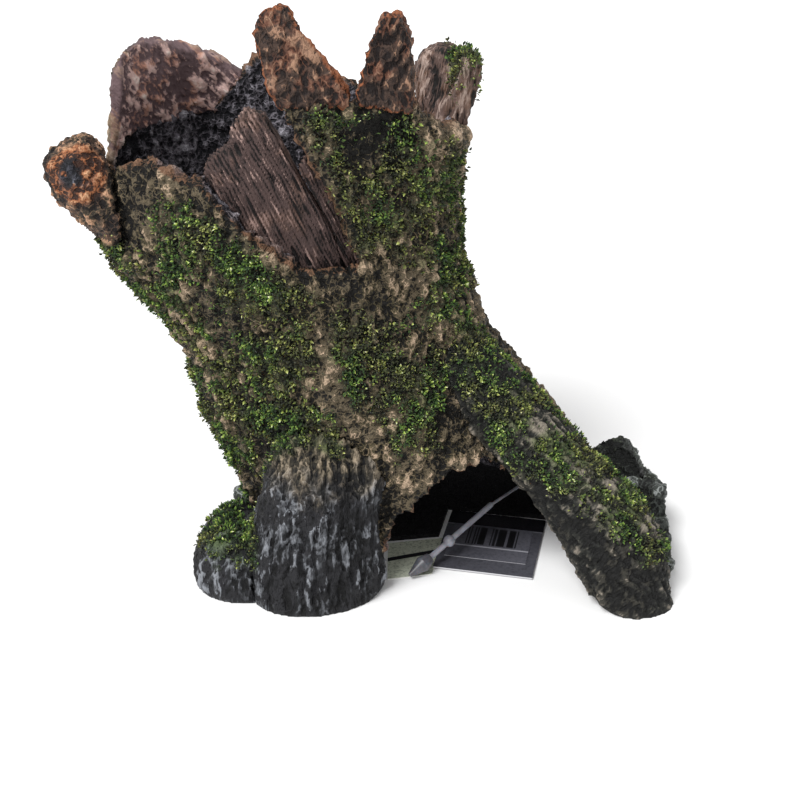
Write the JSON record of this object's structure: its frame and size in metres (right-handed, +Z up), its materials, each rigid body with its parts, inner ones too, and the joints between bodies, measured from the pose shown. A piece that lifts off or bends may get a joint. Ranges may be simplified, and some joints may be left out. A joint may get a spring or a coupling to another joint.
{
  "type": "resin cave ornament",
  "caption": "Hollow leaning tree stump in painted resin with a torn open crown, moss mats, a cave arch between its roots, rocks round its base and a swing tag tied in the cave.",
  "frame": {"origin": "middle of the bounding box's base, on the surface the ornament stands on", "axes": "+X to the right along the length, from the branch stub to the root's rocks; +Y from the cave's mouth to the back; +Z up"},
  "size_m": [0.2384, 0.1316, 0.221],
  "materials": {
    "bark_resin": "painted bark, dry-brushed",
    "torn_wood_resin": "painted torn wood with orange edges",
    "heartwood_resin": "painted wood grain",
    "charcoal_resin": "painted charcoal, dry-brushed grey",
    "rock_resin": "painted rock",
    "moss_flock": "flocked moss",
    "tie_nylon": "moulded nylon",
    "leaf_card": "uncoated card",
    "dark_card": "coated card",
    "label_paper": "printed label"
  },
  "bodies": {
    "ornament": {"trunk_shell": "bark_resin", "cave_floor": "charcoal_resin", "crown_back_shard": "torn_wood_resin", "crown_mid_spike": "torn_wood_resin", "crown_right_spike": "torn_wood_resin", "crown_right_shard": "torn_wood_resin", "branch_stub": "torn_wood_resin", "heartwood_slab": "heartwood_resin", "heartwood_sliver": "heartwood_resin", "left_foot": "charcoal_resin", "left_toe": "charcoal_resin", "right_root": "bark_resin", "rock_lower": "rock_resin", "rock_middle": "rock_resin", "rock_upper": "rock_resin", "rock_left": "rock_resin", "moss_right_wall": "moss_flock", "moss_left_wall": "moss_flock", "moss_left_edge": "moss_flock", "moss_lower_left": "moss_flock", "moss_centre": "moss_flock", "moss_root": "moss_flock", "moss_foot": "moss_flock", "moss_shard": "moss_flock"},
    "tie": {"tag_tie": "tie_nylon", "tag_lock": "tie_nylon"},
    "tag": {"tag_leaf": "leaf_card", "tag_card": "dark_card", "tag_label": "label_paper"}
  },
  "joints": [
    {"name": "tie_swing", "type": "hinge", "parent": "ornament", "child": "tie", "pos_m": [0.0807, 0.01705, 0.0263], "axis": [-1, 0, 0], "range_deg": [0, 8]},
    {"name": "tag_turn", "type": "hinge", "parent": "tie", "child": "tag", "pos_m": [0.0177, -0.03295, 0.0002], "axis": [0, 0, -1], "range_deg": [0, 10]}
  ]
}
